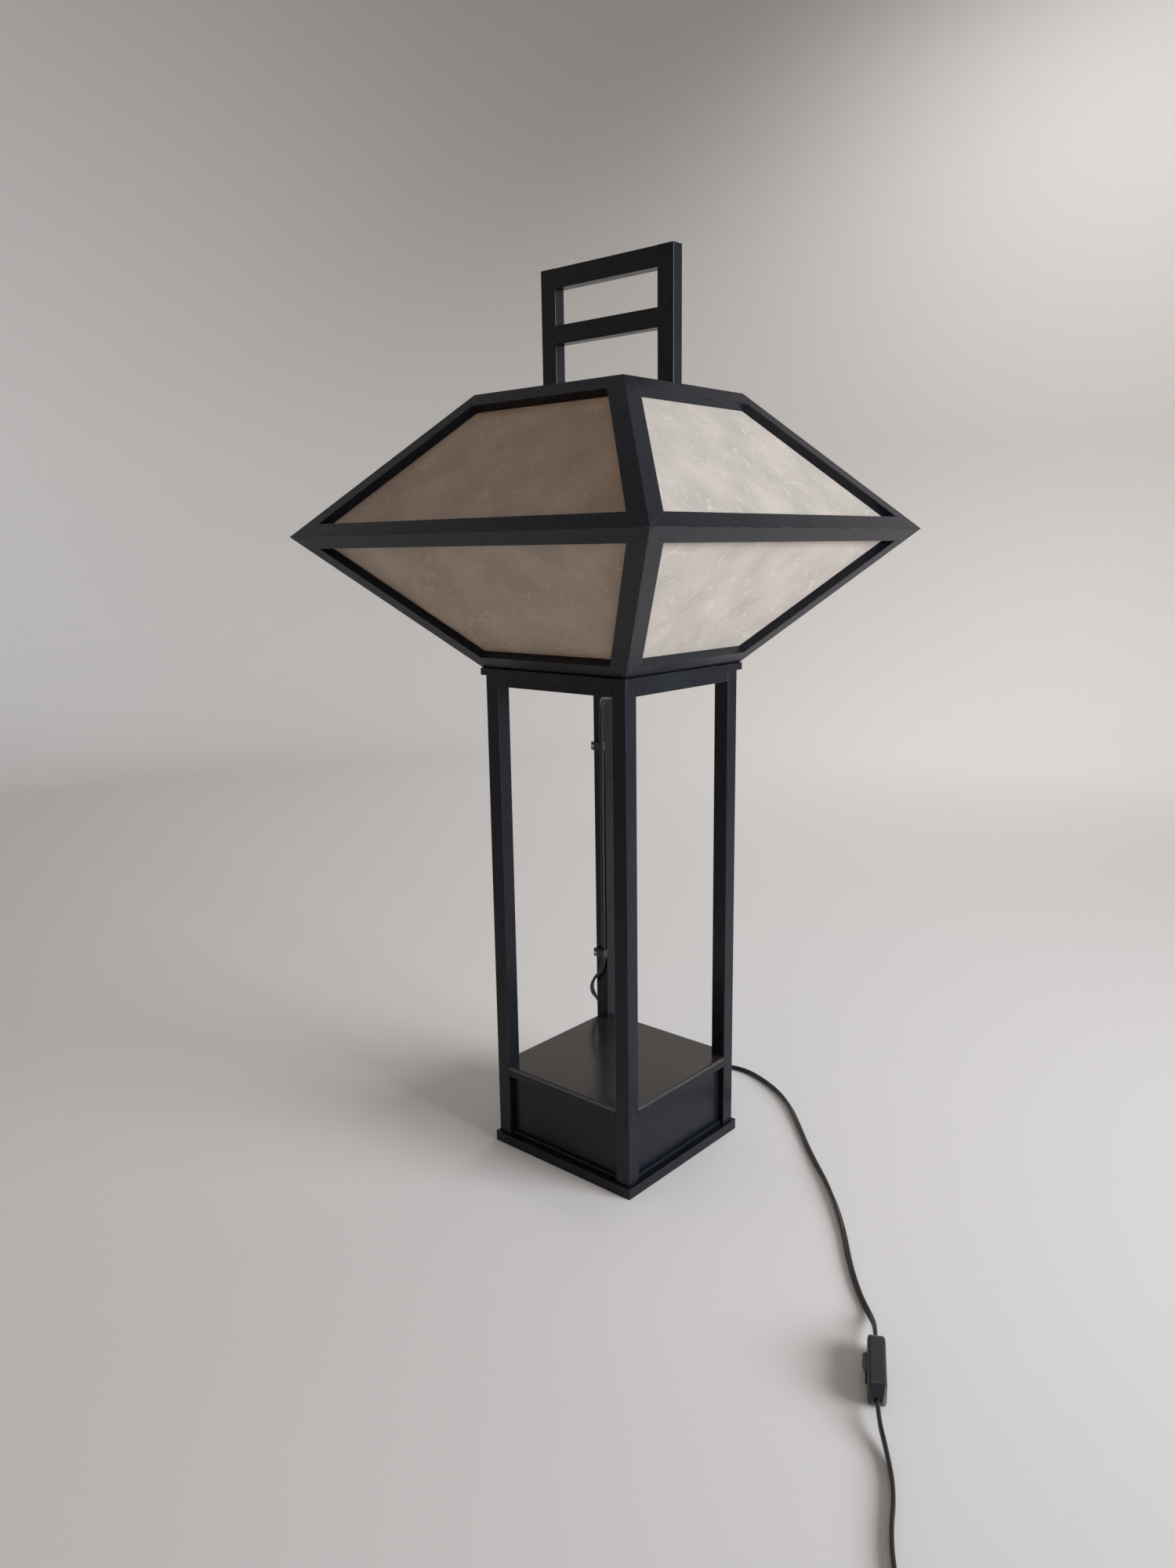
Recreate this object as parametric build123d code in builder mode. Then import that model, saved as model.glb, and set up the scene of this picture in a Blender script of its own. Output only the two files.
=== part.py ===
from build123d import *
import math
import os

os.makedirs("parts", exist_ok=True)

# Paper table lamp: a square stand of black sticks carries a lift-off lantern shade with a ladder handle.
# Sizes are in mm. The origin is the middle of the underside, +Z is up, the front face looks to -Y.

# Stand
stand_width = 166.0
stand_height = 475.0
post_side = 15.0
base_board_thickness = 10.0
base_board_overhang = 3.0
top_board_thickness = 6.5
top_board_overhang = 3.5
rail_height = 10.0
shelf_top = 83.0
shelf_thickness = 3.0
shelf_round_share = 0.65
shelf_rail_height = 7.0
panel_thickness = 4.0
panel_setback = 6.0
bead_height = 4.0
bead_setback = 3.0
bead_round = 1.5
edge_round = 0.8

# Shade: two square pyramid frusta, wide ends together, framed in sticks and papered from inside
shade_ring_overhang = 1.5
shade_middle_width = 407.0
shade_height = 240.0
stick_face = 15.0
stick_depth = 8.0
paper_thickness = 0.5
paper_room = 0.5
paper_gap = 1.5
ring_wall = 9.5
glue_line = 0.1

# Locating cleats on the stand, just inside the bottom of the shade
cleat_length = 60.0
cleat_side = 8.0
cleat_play = 1.5

# Handle: two posts and two rails, standing inside the top of the shade
handle_post_width = 17.0
handle_depth = 12.5
handle_rise = 112.5
handle_rail_height = 17.0
handle_middle_rail_height = 16.0
handle_middle_rail_rise = 64.0

# Wood screws, with countersunk heads
screw_shank = 3.0
screw_head = 6.0
stand_screw_bite = 20.0
handle_screw_bite = 7.0
lampholder_screw_bite = 5.0

# Lampholder and bulb, for a 27 mm screw cap
lampholder_base_width = 52.0
lampholder_base_height = 7.0
lampholder_screw_edge = 1.0
lampholder_shell_wall = 3.8
lampholder_shell_height = 45.0
lampholder_floor = 5.0
lampholder_contact_proud = 2.0
lampholder_contact_stem = 6.0
terminal_cavity_width = 30.0
terminal_cavity_height = 4.0
terminal_size = (6.0, 5.0, 3.5)
thread_wall = 0.7
thread_height = 32.0
bulb_play = 0.4
bulb_cap_width = 26.2
bulb_cap_height = 25.0
bulb_cap_edge = 1.0
bulb_insulator_height = 5.5
bulb_contact_width = 9.0
bulb_contact_height = 2.5
bulb_globe_width = 60.0
bulb_neck_height = 6.0
bulb_shoulder = 8.0
bulb_wall = 1.2

# Cord: one flex from the lampholder down the back left post, through a switch, to the plug
cord_diameter = 4.5
cord_play = 0.1
cord_hole = 10.0
cord_free_length = 1800.0
cord_grip = 5.0
bend_share = 0.45
riser_from_post_edge = 11.5
riser_past_clip = 2.0
lower_clip_height = 158.0
upper_clip_drop = 93.0
clip_height = 8.0
clip_wall = 1.6
clip_boss_width = 6.0
clip_boss_depth = 6.0
nail_diameter = 1.6
nail_head_width = 3.6
nail_head_height = 1.0
nail_tip_cover = 3.0

# In-line switch, lying on its side with the rocker facing right of the cord's run
switch_middle = (364.0, -151.0)
switch_heading = -61.9
switch_lead = 15.0
switch_length = 62.0
switch_depth = 13.0
switch_wall = 1.8
switch_side = 2.8
switch_round = 2.5
switch_end_length = 7.0
switch_end_depth = 7.6
switch_screw = 2.0
switch_screw_inset = (9.5, 3.9)
switch_boss = 4.0
switch_contact_size = (16.0, 4.0, 0.8)
rocker_length = 21.4
rocker_width = 10.4
rocker_proud = 2.2
rocker_skirt = 2.0
rocker_play = 0.5
rocker_tilt = 6.0
rocker_pivot_height = 3.0
rocker_pin = 2.0
rocker_pin_bite = 1.8
rocker_pin_play = 0.05

# Coil of the cord that the picture doesn't show, with its tie and the plug
coil_entry = (480.0, -334.0)
coil_heading = -53.0
coil_lead = 20.0
coil_turns = 5.22
coil_gap = 0.6
tie_turn = 225.0
tie_width = 6.0
tie_thickness = 0.8
tie_play = 0.4
tail_length = 34.0
plug_width = 26.0
plug_neck_width = 18.2
plug_thickness = 13.7
plug_length = 36.0
plug_round = 3.0
relief_length = 25.0
relief_width = 9.0
relief_wall = 1.0
pin_diameter = 4.0
pin_length = 19.0
pin_spacing = 18.6

# Places worked out from the sizes above
half_stand = stand_width / 2
post_middle = half_stand - post_side / 2
post_inner = half_stand - post_side
between_posts = 2 * post_inner
shelf_rail_bottom = shelf_top - shelf_thickness - shelf_rail_height
top_board_bottom = stand_height - top_board_thickness
top_rail_bottom = top_board_bottom - rail_height
ring_half = half_stand + shade_ring_overhang
ring_inner = ring_half - ring_wall
middle_half = shade_middle_width / 2
frustum_height = shade_height / 2
shade_middle = stand_height + frustum_height
shade_top = stand_height + shade_height
frustum_run = middle_half - ring_half
slant = math.hypot(frustum_run, frustum_height)
paper_inset = stick_depth * frustum_run / frustum_height + paper_gap
paper_seat = stick_face - paper_inset + paper_room
ring_height = ((stick_face - paper_seat) * frustum_height + stick_depth * frustum_run) / slant
cord_radius = cord_diameter / 2
floor_line = cord_radius + cord_play
side_names = ("front", "right", "back", "left")
side_turns = (0, 90, 180, 270)


def turned(point, angle):
    """The point turned about the Z axis, in degrees."""
    return Vector(point).rotate(Axis.Z, angle)


def save(piece, label):
    """Name a finished piece and write it out."""
    piece.part.label = label
    export_step(piece.part, f"parts/{label}.step")


def screw_profile(length):
    """Half outline of a countersunk screw, head up at the origin, in the XZ plane."""
    sink = (screw_head - screw_shank) / 2
    return [
        (0, 0),
        (screw_head / 2, 0),
        (screw_shank / 2, -sink),
        (screw_shank / 2, -length + sink),
        (0, -length),
    ]


def screw_group(planes, length):
    """One countersunk screw on each plane, driven against the plane's normal."""
    with BuildPart() as screws:
        for plane in planes:
            across = Plane(plane.origin, x_dir=plane.x_dir, z_dir=-plane.y_dir)
            with BuildSketch(across):
                Polygon(*screw_profile(length), align=None)
            revolve(axis=Axis(plane.origin, plane.z_dir))
    return screws


# Stand screws: four up through the base board and four down through the top board, into the posts
corners = [(x * post_middle, y * post_middle) for x, y in ((-1, -1), (1, -1), (1, 1), (-1, 1))]
stand_screws = screw_group(
    [Plane((x, y, 0), z_dir=(0, 0, -1)) for x, y in corners]
    + [Plane((x, y, stand_height), z_dir=(0, 0, 1)) for x, y in corners],
    max(base_board_thickness, top_board_thickness) + stand_screw_bite,
)

# Cable route on the back left post, and the two nailed clips that hold it there
riser_x = -half_stand + riser_from_post_edge
riser_y = post_inner - cord_radius - cord_play
clip_heights = (lower_clip_height, stand_height - upper_clip_drop)
riser_end_height = lower_clip_height - clip_height / 2 - riser_past_clip
nail_x = riser_x - cord_radius - clip_wall - clip_boss_width / 2
nail_length = clip_boss_depth + post_side - nail_tip_cover
with BuildPart() as clip_nails:
    for height in clip_heights:
        with BuildSketch(Plane((nail_x, post_inner - clip_boss_depth, height), z_dir=(0, -1, 0))):
            Circle(nail_head_width / 2)
        extrude(amount=nail_head_height)
        with BuildSketch(Plane((nail_x, post_inner - clip_boss_depth, height), z_dir=(0, 1, 0))):
            Circle(nail_diameter / 2)
        extrude(amount=nail_length)

with BuildPart() as cable_clips:
    hook_half = cord_radius + cord_play + clip_wall
    for height in clip_heights:
        with BuildSketch(Plane.XY.offset(height - clip_height / 2)):
            with Locations((riser_x - hook_half, post_inner - 2 * hook_half + clip_wall)):
                Rectangle(2 * hook_half, 2 * hook_half - clip_wall, align=(Align.MIN, Align.MIN))
            with Locations((nail_x, post_inner)):
                Rectangle(clip_boss_width, clip_boss_depth, align=(Align.CENTER, Align.MAX))
            with Locations((riser_x, riser_y)):
                Circle(cord_radius + cord_play / 2, mode=Mode.SUBTRACT)
                Rectangle(
                    cord_diameter + cord_play,
                    cord_diameter,
                    align=(Align.CENTER, Align.MIN),
                    mode=Mode.SUBTRACT,
                )
        extrude(amount=clip_height)
    add(clip_nails.part, mode=Mode.SUBTRACT)

# Base board, posts and top board
with BuildPart() as base_board:
    with BuildSketch(Plane.XY):
        Rectangle(stand_width + 2 * base_board_overhang, stand_width + 2 * base_board_overhang)
    extrude(amount=base_board_thickness)
    fillet(base_board.edges().filter_by(Axis.Z), radius=edge_round)
    add(stand_screws.part, mode=Mode.SUBTRACT)

post_names = ("front_left", "front_right", "back_right", "back_left")
for post_name, corner in zip(post_names, corners):
    with BuildPart() as stand_post:
        with BuildSketch(Plane((*corner, base_board_thickness))):
            Rectangle(post_side, post_side)
        extrude(amount=top_board_bottom - base_board_thickness)
        fillet(stand_post.edges().filter_by(Axis.Z), radius=edge_round)
        add(stand_screws.part, mode=Mode.SUBTRACT)
        if post_name == "back_left":
            add(clip_nails.part, mode=Mode.SUBTRACT)
    save(stand_post, f"stand_post_{post_name}")

lampholder_screw_circle = lampholder_base_width / 2 - screw_head / 2 - lampholder_screw_edge
lampholder_flange = stand_height + lampholder_base_height
lampholder_screws = screw_group(
    [Plane((0, y * lampholder_screw_circle, lampholder_flange), z_dir=(0, 0, 1)) for y in (-1, 1)],
    lampholder_base_height + lampholder_screw_bite,
)

with BuildPart() as stand_top_board:
    with BuildSketch(Plane.XY.offset(top_board_bottom)):
        Rectangle(stand_width + 2 * top_board_overhang, stand_width + 2 * top_board_overhang)
        Circle(cord_hole / 2, mode=Mode.SUBTRACT)
    extrude(amount=top_board_thickness)
    corner_edges = stand_top_board.edges().filter_by(Axis.Z).filter_by(GeomType.LINE)
    fillet(corner_edges.sort_by(SortBy.DISTANCE)[-4:], radius=edge_round)
    add(stand_screws.part, mode=Mode.SUBTRACT)
    add(lampholder_screws.part, mode=Mode.SUBTRACT)


def side_bars(bottom, height, depth, setback, rounding):
    """Four bars between the posts, one on each side, with their long upper outer edges rounded."""
    near = 0.01
    with BuildPart() as bars:
        for angle in side_turns:
            face = Plane(turned((0, -half_stand + setback, bottom), angle), x_dir=turned((1, 0, 0), angle))
            with BuildSketch(face):
                Rectangle(between_posts, depth, align=(Align.CENTER, Align.MIN))
            extrude(amount=height)
        if rounding:
            outer_edges = [
                edge
                for edge in bars.edges()
                if abs(edge.length - between_posts) < near
                and abs(max(abs(edge.center().X), abs(edge.center().Y)) - half_stand + setback) < near
                and edge.center().Z > bottom + height / 2
            ]
            fillet(outer_edges, radius=rounding)
    return bars


# Rails under the top board and under the shelf, and beads along the feet of the base panels
stand_top_rails = side_bars(top_rail_bottom, rail_height, post_side, 0, 0)
shelf_rails = side_bars(shelf_rail_bottom, shelf_rail_height, post_side, 0, 0)
bead_depth = panel_setback - bead_setback
base_beads = side_bars(base_board_thickness, bead_height, bead_depth, bead_setback, bead_round)

for side, angle in zip(side_names, side_turns):
    panel_face = turned((0, -half_stand + panel_setback, base_board_thickness), angle)
    with BuildPart() as base_panel:
        with BuildSketch(Plane(panel_face, x_dir=turned((1, 0, 0), angle))):
            Rectangle(between_posts, panel_thickness, align=(Align.CENTER, Align.MIN))
        extrude(amount=shelf_rail_bottom - base_board_thickness)
    save(base_panel, f"base_panel_{side}")

with BuildPart() as shelf_board:
    with BuildSketch(Plane.XY.offset(shelf_top - shelf_thickness)):
        Rectangle(stand_width, stand_width)
        with Locations(*corners):
            Rectangle(post_side, post_side, mode=Mode.SUBTRACT)
    extrude(amount=shelf_thickness)
    top_edges = shelf_board.faces().sort_by(Axis.Z)[-1].edges()
    open_edges = [edge for edge in top_edges if max(abs(edge.center().X), abs(edge.center().Y)) > post_middle]
    fillet(open_edges, radius=shelf_round_share * shelf_thickness)

# Cleats that keep the shade in place on the stand
with BuildPart() as shade_cleats:
    for angle in side_turns:
        cleat_face = turned((0, -ring_inner + cleat_play, stand_height), angle)
        with BuildSketch(Plane(cleat_face, x_dir=turned((1, 0, 0), angle))):
            Rectangle(cleat_length, cleat_side, align=(Align.CENTER, Align.MIN))
        extrude(amount=cleat_side)
    fillet(shade_cleats.faces().filter_by(Axis.Z).sort_by(Axis.Z)[-4:].edges(), radius=edge_round)


def face_plane(angle, upper):
    """Plane of one sloping side: origin mid-way along its wide edge, Y up the slope, Z outward."""
    way = 1 if upper else -1
    along = turned((way, 0, 0), angle)
    up_slope = turned((0, frustum_run, way * frustum_height), angle)
    return Plane(turned((0, -middle_half, shade_middle), angle), x_dir=along, z_dir=along.cross(up_slope))


def side_outline(inset):
    """Corners of a sloping side, drawn in by the inset: wide edge first, then the narrow edge."""
    taper = frustum_run / slant
    sideways = inset * math.hypot(1, taper)
    low = middle_half - taper * inset - sideways
    high = middle_half - taper * (slant - inset) - sideways
    return [(-low, inset), (low, inset), (high, slant - inset), (-high, slant - inset)]


def stick_flange(angle, upper, edge):
    """One mitred bar of a sloping side: edge 0 wide, 1 right, 2 narrow, 3 left, kept to its own side."""
    outer = side_outline(0)
    inner = side_outline(stick_face)
    after = (edge + 1) % 4
    way = 1 if upper else -1
    with BuildPart() as flange:
        with BuildSketch(face_plane(angle, upper)):
            Polygon(outer[edge], outer[after], inner[after], inner[edge], align=None)
        extrude(amount=-stick_depth)
        with BuildSketch(Plane((0, 0, shade_middle), x_dir=turned((1, 0, 0), angle))):
            Polygon((0, 0), (-shade_height, -shade_height), (shade_height, -shade_height), align=None)
        extrude(amount=way * shade_height, mode=Mode.INTERSECT)
    return flange.part


def hip_sticks(upper):
    """Four corner sticks, each with a face on two neighbouring sides."""
    edge_pair = (1, 3) if upper else (3, 1)
    sticks = []
    for angle in side_turns:
        with BuildPart() as stick:
            add(stick_flange(angle, upper, edge_pair[0]))
            add(stick_flange(angle + 90, upper, edge_pair[1]))
        sticks.append(stick.part)
    with BuildPart() as hips:
        for stick in sticks:
            add(stick)
    return hips


shade_upper_hips = hip_sticks(True)
shade_lower_hips = hip_sticks(False)

middle_rails = []
for angle in side_turns:
    with BuildPart() as middle_rail:
        add(stick_flange(angle, True, 0))
        add(stick_flange(angle, False, 0))
    middle_rails.append(middle_rail.part)
with BuildPart() as shade_middle_rails:
    for middle_rail in middle_rails:
        add(middle_rail)


def ring_rails(upper, cutters):
    """Four rails of the narrow ring: bevelled outside, upright inside, with a seat for the paper."""
    way = 1 if upper else -1
    ring_level = shade_middle + way * frustum_height
    down_slope = Vector(frustum_run, -way * frustum_height) / slant
    inward = Vector(-frustum_height, -way * frustum_run) / slant
    top = Vector(ring_half, ring_level)
    lip = top + down_slope * stick_face
    seat = lip + inward * stick_depth
    seat_end = seat - down_slope * paper_seat
    foot = Vector(ring_inner, seat_end.Y)
    section = [top, lip, seat, seat_end, foot, Vector(ring_inner, ring_level)]
    rail_ends = [ring_level, seat.Y]
    pieces = []
    for angle in side_turns:
        across = Plane((0, 0, 0), x_dir=turned((0, -1, 0), angle), z_dir=turned((-1, 0, 0), angle))
        with BuildPart() as rail:
            with BuildSketch(across):
                Polygon(*[(point.X, point.Y) for point in section], align=None)
            extrude(amount=middle_half, both=True)
            with BuildSketch(Plane((0, 0, min(rail_ends)), x_dir=turned((1, 0, 0), angle))):
                Polygon(
                    (0, -glue_line),
                    (-middle_half, -middle_half - glue_line),
                    (middle_half, -middle_half - glue_line),
                    align=None,
                )
            extrude(amount=abs(rail_ends[0] - rail_ends[1]), mode=Mode.INTERSECT)
            for cutter in cutters:
                add(cutter.part, mode=Mode.SUBTRACT)
        pieces.append(rail.part)
    with BuildPart() as ring:
        for piece in pieces:
            add(piece)
    return ring


# Handle places, and the screws that fix its posts to the top of the shade
handle_half = ring_inner
handle_post_bottom = shade_top - ring_height
handle_top = shade_top + handle_rise
handle_screw_height = shade_top - ring_height / 2
handle_screws = screw_group(
    [
        Plane((way * (handle_half - handle_post_width), 0, handle_screw_height), z_dir=(-way, 0, 0))
        for way in (-1, 1)
    ],
    handle_post_width + handle_screw_bite,
)

shade_top_rails = ring_rails(True, [shade_upper_hips, handle_screws])
shade_bottom_rails = ring_rails(False, [shade_lower_hips])

# Paper panels, glued to the inside of the sticks
for upper, level in ((True, "upper"), (False, "lower")):
    for side, angle in zip(side_names, side_turns):
        with BuildPart() as paper:
            with BuildSketch(face_plane(angle, upper).offset(-stick_depth)):
                Polygon(*side_outline(paper_inset), align=None)
            extrude(amount=-paper_thickness)
        save(paper, f"paper_{level}_{side}")

# Handle posts and rails
for way, side in ((-1, "left"), (1, "right")):
    with BuildPart() as handle_post:
        with BuildSketch(Plane((way * (handle_half - handle_post_width / 2), 0, handle_post_bottom))):
            Rectangle(handle_post_width, handle_depth)
        extrude(amount=handle_top - handle_post_bottom)
        fillet(handle_post.edges().filter_by(Axis.Z), radius=edge_round)
        add(handle_screws.part, mode=Mode.SUBTRACT)
    save(handle_post, f"handle_post_{side}")

handle_rail_length = 2 * (handle_half - handle_post_width)
handle_rails = (
    ("top", handle_top, handle_rail_height),
    ("middle", shade_top + handle_middle_rail_rise, handle_middle_rail_height),
)
for rail_name, rail_top, bar_height in handle_rails:
    with BuildPart() as handle_rail:
        with BuildSketch(Plane.XY.offset(rail_top - bar_height)):
            Rectangle(handle_rail_length, handle_depth)
        extrude(amount=bar_height)
        fillet(handle_rail.edges().filter_by(Axis.X), radius=edge_round)
    save(handle_rail, f"handle_{rail_name}_rail")

# Lampholder, standing on the top board over the cord hole
shell_floor_top = lampholder_flange + lampholder_floor
contact_top = shell_floor_top + lampholder_contact_proud
thread_outer = bulb_cap_width / 2 + bulb_play + thread_wall
with BuildPart() as lampholder_base:
    with BuildSketch(Plane.XY.offset(stand_height)):
        Circle(lampholder_base_width / 2)
    extrude(amount=lampholder_base_height)
    chamfer(lampholder_base.edges().filter_by(GeomType.CIRCLE).sort_by(Axis.Z)[-1], length=edge_round)
    with BuildSketch(Plane.XY.offset(stand_height)):
        Circle(terminal_cavity_width / 2)
    extrude(amount=terminal_cavity_height, mode=Mode.SUBTRACT)
    add(lampholder_screws.part, mode=Mode.SUBTRACT)

with BuildPart() as lampholder_terminals:
    with BuildSketch(Plane.XY.offset(stand_height + terminal_cavity_height)):
        with GridLocations(cord_diameter + terminal_size[0] + 2 * cord_play, 0, 2, 1):
            Rectangle(terminal_size[0], terminal_size[1])
    extrude(amount=-terminal_size[2])

with BuildPart() as lampholder_contact:
    with BuildSketch(Plane.XY.offset(lampholder_flange)):
        Circle(lampholder_contact_stem / 2)
    extrude(amount=lampholder_floor)
    with BuildSketch(Plane.XY.offset(shell_floor_top)):
        Circle(bulb_contact_width / 2)
    extrude(amount=lampholder_contact_proud)

with BuildPart() as lampholder_thread:
    with BuildSketch(Plane.XY.offset(shell_floor_top)):
        Circle(thread_outer)
        Circle(thread_outer - thread_wall, mode=Mode.SUBTRACT)
    extrude(amount=thread_height)

with BuildPart() as lampholder_shell:
    with BuildSketch(Plane.XY.offset(lampholder_flange)):
        Circle(thread_outer + lampholder_shell_wall)
    extrude(amount=lampholder_shell_height)
    fillet(lampholder_shell.edges().filter_by(GeomType.CIRCLE).sort_by(Axis.Z)[-1], radius=edge_round)
    with BuildSketch(Plane.XY.offset(shell_floor_top)):
        Circle(thread_outer)
    extrude(amount=lampholder_shell_height, mode=Mode.SUBTRACT)
    add(lampholder_contact.part, mode=Mode.SUBTRACT)

# Bulb: contact, insulator, screw cap and a thin hollow globe
insulator_bottom = contact_top + bulb_contact_height
cap_bottom = insulator_bottom + bulb_insulator_height
neck_bottom = cap_bottom + bulb_cap_height
neck_top = neck_bottom + bulb_neck_height
globe_centre = neck_top + bulb_shoulder + bulb_globe_width / 2
with BuildPart() as bulb_contact:
    with BuildSketch(Plane.XY.offset(contact_top)):
        Circle(bulb_contact_width / 2)
    extrude(amount=bulb_contact_height)
    fillet(bulb_contact.edges().filter_by(GeomType.CIRCLE).sort_by(Axis.Z)[0], radius=edge_round)

with BuildPart() as bulb_insulator:
    with BuildSketch(Plane.XZ):
        Polygon(
            (0, insulator_bottom),
            (bulb_contact_width / 2, insulator_bottom),
            (bulb_cap_width / 2 - bulb_cap_edge, cap_bottom),
            (0, cap_bottom),
            align=None,
        )
    revolve(axis=Axis.Z)

with BuildPart() as bulb_cap:
    with BuildSketch(Plane.XY.offset(cap_bottom)):
        Circle(bulb_cap_width / 2)
    extrude(amount=bulb_cap_height)
    chamfer(bulb_cap.edges().filter_by(GeomType.CIRCLE).sort_by(Axis.Z)[0], length=bulb_cap_edge)


def globe_solid(shrink):
    """Solid bulb shape drawn in by the shrink: a neck, a cone touching the globe, and the globe."""
    radius = bulb_globe_width / 2 - shrink
    neck = bulb_cap_width / 2 - shrink
    reach = math.hypot(neck, globe_centre - neck_top)
    turn = math.atan2(neck, globe_centre - neck_top) + math.acos(radius / reach)
    touch = (radius * math.sin(turn), globe_centre - radius * math.cos(turn))
    with BuildPart() as globe:
        with BuildSketch(Plane.XZ):
            with BuildLine():
                Polyline((0, neck_bottom), (neck, neck_bottom), (neck, neck_top), touch)
                ThreePointArc(touch, (radius, globe_centre), (0, globe_centre + radius))
                Line((0, globe_centre + radius), (0, neck_bottom))
            make_face()
        revolve(axis=Axis.Z)
    return globe.part


with BuildPart() as bulb_glass:
    add(globe_solid(0))
    add(globe_solid(bulb_wall), mode=Mode.SUBTRACT)


def route_radii(points):
    """Largest even bend at each corner of a route."""
    radii = []
    for before, corner, after in zip(points, points[1:], points[2:]):
        run_in = corner - before
        run_out = after - corner
        half_turn = math.radians(run_in.get_angle(run_out)) / 2
        radii.append(bend_share * min(run_in.length, run_out.length) / math.tan(half_turn))
    return radii


def cord_tube(points, label):
    """Round flex along a route of straight runs and arcs; prints its bends, length and volume."""
    points = [Vector(point) for point in points]
    radii = route_radii(points)
    with BuildPart() as tube:
        with BuildLine() as route:
            FilletPolyline(*points, radius=radii)
        with BuildSketch(Plane(points[0], z_dir=points[1] - points[0])):
            Circle(cord_radius)
        sweep(path=route.wires()[0])
    length = route.wires()[0].length
    share = tube.part.volume / (math.pi * cord_radius**2 * length)
    print(label, "length", round(length, 1), "tightest bend", round(min(radii), 1))
    print(label, "volume share", round(share, 4))
    return tube, length


# Riser: from the lampholder's terminals, under the top board, and straight down the post
riser_points = [
    (0, 0, stand_height + terminal_cavity_height - terminal_size[2]),
    (0, 0, stand_height - 19.0),
    (-15.0, 14.0, stand_height - 34.0),
    (-36.0, 33.0, stand_height - 37.0),
    (-57.0, 52.0, stand_height - 41.0),
    (riser_x, riser_y, stand_height - 61.0),
    (riser_x, riser_y, riser_end_height),
]
riser_cable, riser_length = cord_tube(riser_points, "riser cable")

# Switch place: on its side on the floor, the cord running through the middle of its ends
rocker_opening = (rocker_length + 2 * rocker_play, rocker_width + 2 * rocker_play)
switch_width = rocker_opening[1] + 2 * switch_side
switch_run = Vector(1, 0, 0).rotate(Axis.Z, switch_heading)
rocker_way = switch_run.rotate(Axis.Z, -90)
switch_centre = Vector(*switch_middle, switch_width / 2 + cord_play)
switch_plane = Plane(switch_centre, x_dir=switch_run, z_dir=rocker_way)
switch_near_end = switch_centre - switch_run * (switch_length / 2)
switch_far_end = switch_centre + switch_run * (switch_length / 2)

# Free cord: out past the post in a small loop, down behind the base, and along the floor to the switch
to_switch_points = [
    (riser_x, riser_y, riser_end_height),
    (riser_x - 0.5, riser_y - 0.8, 138.0),
    (-85.0, 60.0, 123.0),
    (-96.0, 74.0, 107.0),
    (-93.0, 95.0, 87.0),
    (-79.0, 111.0, 58.0),
    (-64.0, 127.0, 26.0),
    (-42.0, 150.0, floor_line),
    (-18.0, 183.0, floor_line),
    (19.0, 201.0, floor_line),
    (63.0, 187.0, floor_line),
    (101.0, 164.0, floor_line),
    (133.0, 130.0, floor_line),
    (173.0, 86.0, floor_line),
    (221.0, 41.0, floor_line),
    (257.0, -3.0, floor_line),
    (285.0, -44.0, floor_line),
    (311.0, -76.0, floor_line),
    (330.0, -94.0, floor_line),
    switch_near_end - switch_run * switch_lead,
    switch_near_end + switch_run * cord_grip,
]
cord_to_switch, to_switch_length = cord_tube(to_switch_points, "cord to switch")

# Free cord from the switch, out of the picture's lower edge to the coil
coil_run = Vector(1, 0, 0).rotate(Axis.Z, coil_heading)
coil_start = Vector(*coil_entry, floor_line + tie_thickness + tie_play)
to_coil_points = [
    switch_far_end - switch_run * cord_grip,
    switch_far_end + switch_run * switch_lead,
    (401.0, -209.0, floor_line),
    (420.0, -236.0, floor_line),
    (433.0, -268.0, floor_line),
    (452.0, -298.0, floor_line),
    coil_start - coil_run * coil_lead,
    coil_start,
]
cord_to_coil, to_coil_length = cord_tube(to_coil_points, "cord to coil")

# Coil: in along the floor layer, up a layer in the half turn where it reverses, and out again.
# Its middle diameter takes up the length of cord that the other stretches leave.
laid_length = to_switch_length + switch_length - 2 * cord_grip + to_coil_length
coil_ends = tail_length + 2 * cord_diameter
coil_middle_diameter = (cord_free_length - laid_length - coil_ends) / (math.pi * coil_turns)
coil_pitch = cord_diameter + coil_gap
coil_rise = cord_diameter + coil_gap
layer_turns = coil_turns / 2
coil_outer = coil_middle_diameter / 2 + coil_pitch * layer_turns / 2
reverse_angle = math.pi * coil_turns
coil_centre = coil_start + coil_run * cord_diameter + coil_run.rotate(Axis.Z, 90) * coil_outer
first_angle = math.radians(coil_heading - 90)


def coil_place(swept):
    """Radius and height of the coil's line after an angle swept from its start."""
    rate = coil_pitch / (2 * math.pi)
    past = swept - reverse_angle
    half_band = math.pi / 2
    if abs(past) < half_band:
        step = (past + half_band) / (2 * half_band)
        reach = coil_outer - rate * (reverse_angle - half_band / 2) + rate * past**2 / (2 * half_band)
        return reach, coil_rise * (3 * step**2 - 2 * step**3)
    reach = coil_outer - rate * (reverse_angle - abs(past))
    return reach, coil_rise if past > 0 else 0.0


def coil_point(swept):
    reach, lift = coil_place(swept)
    angle = first_angle + swept
    return coil_centre + Vector(reach * math.cos(angle), reach * math.sin(angle), lift)


def coil_tangent(swept):
    small = 0.001
    return (coil_point(swept + small) - coil_point(swept - small)).normalized()


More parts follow.
